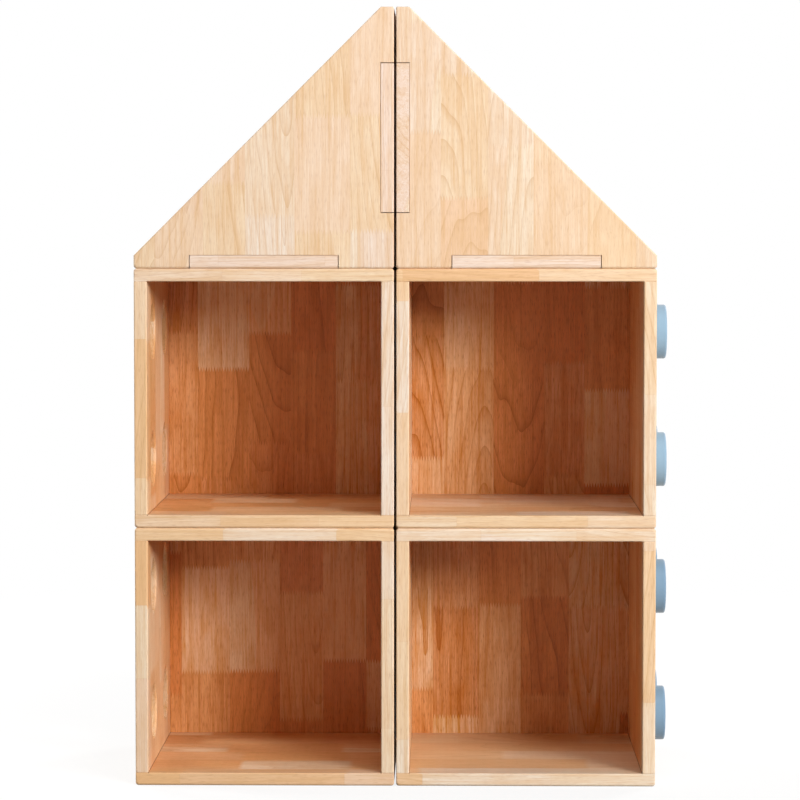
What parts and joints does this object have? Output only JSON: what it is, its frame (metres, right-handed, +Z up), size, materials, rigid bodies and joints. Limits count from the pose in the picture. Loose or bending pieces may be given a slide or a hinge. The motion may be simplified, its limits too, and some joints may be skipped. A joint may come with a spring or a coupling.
{
  "type": "house shaped bookcase",
  "caption": "Modular child's bookcase: open cubes that plug together side by side with round studs, under a pitched roof of triangular bins.",
  "frame": {"origin": "on the floor, under the centre of the whole bookcase's bounding box, studs counted in", "axes": "+X to the right as seen from the open front, +Y to the back, +Z up"},
  "size_m": [0.741, 0.36, 1.08],
  "materials": {
    "clear_wood": "solid pale hardwood glued up from narrow staves, satin clear lacquer",
    "blue_paint": "turned wood, satin sky blue paint",
    "dowel_wood": "plain beech dowel, unfinished"
  },
  "bodies": {
    "lower_left": {"lower_left_top_board": "clear_wood", "lower_left_bottom_board": "clear_wood", "lower_left_stud_side": "clear_wood", "lower_left_hole_side": "clear_wood", "lower_left_back_panel": "clear_wood", "lower_left_stud_front_low": "blue_paint", "lower_left_stud_front_high": "blue_paint", "lower_left_stud_back_low": "blue_paint", "lower_left_stud_back_high": "blue_paint", "lower_left_board_dowels": "dowel_wood", "lower_left_stud_dowels": "dowel_wood"},
    "lower_right": {"lower_right_top_board": "clear_wood", "lower_right_bottom_board": "clear_wood", "lower_right_stud_side": "clear_wood", "lower_right_hole_side": "clear_wood", "lower_right_back_panel": "clear_wood", "lower_right_stud_front_low": "blue_paint", "lower_right_stud_front_high": "blue_paint", "lower_right_stud_back_low": "blue_paint", "lower_right_stud_back_high": "blue_paint", "lower_right_board_dowels": "dowel_wood", "lower_right_stud_dowels": "dowel_wood"},
    "upper_left": {"upper_left_top_board": "clear_wood", "upper_left_bottom_board": "clear_wood", "upper_left_stud_side": "clear_wood", "upper_left_hole_side": "clear_wood", "upper_left_back_panel": "clear_wood", "upper_left_stud_front_low": "blue_paint", "upper_left_stud_front_high": "blue_paint", "upper_left_stud_back_low": "blue_paint", "upper_left_stud_back_high": "blue_paint", "upper_left_board_dowels": "dowel_wood", "upper_left_stud_dowels": "dowel_wood"},
    "upper_right": {"upper_right_top_board": "clear_wood", "upper_right_bottom_board": "clear_wood", "upper_right_stud_side": "clear_wood", "upper_right_hole_side": "clear_wood", "upper_right_back_panel": "clear_wood", "upper_right_stud_front_low": "blue_paint", "upper_right_stud_front_high": "blue_paint", "upper_right_stud_back_low": "blue_paint", "upper_right_stud_back_high": "blue_paint", "upper_right_board_dowels": "dowel_wood", "upper_right_stud_dowels": "dowel_wood"},
    "roof_left": {"roof_left_front_panel": "clear_wood", "roof_left_back_panel": "clear_wood", "roof_left_base_board": "clear_wood", "roof_left_upright_board": "clear_wood", "roof_left_dowels": "dowel_wood"},
    "roof_right": {"roof_right_front_panel": "clear_wood", "roof_right_back_panel": "clear_wood", "roof_right_base_board": "clear_wood", "roof_right_upright_board": "clear_wood", "roof_right_dowels": "dowel_wood"}
  },
  "joints": [
    {"name": "lower_right_pull_apart", "type": "slide", "parent": "lower_left", "child": "lower_right", "axis": [1, 0, 0], "range_m": [0, 0.06]},
    {"name": "upper_left_lift", "type": "slide", "parent": "lower_left", "child": "upper_left", "axis": [0, 0, 1], "range_m": [0, 0.1]},
    {"name": "upper_right_pull_apart", "type": "slide", "parent": "upper_left", "child": "upper_right", "axis": [1, 0, 0], "range_m": [0, 0.06]},
    {"name": "roof_left_lift", "type": "slide", "parent": "upper_left", "child": "roof_left", "axis": [0, 0, 1], "range_m": [0, 0.12]},
    {"name": "roof_right_lift", "type": "slide", "parent": "upper_right", "child": "roof_right", "axis": [0, 0, 1], "range_m": [0, 0.12]}
  ]
}
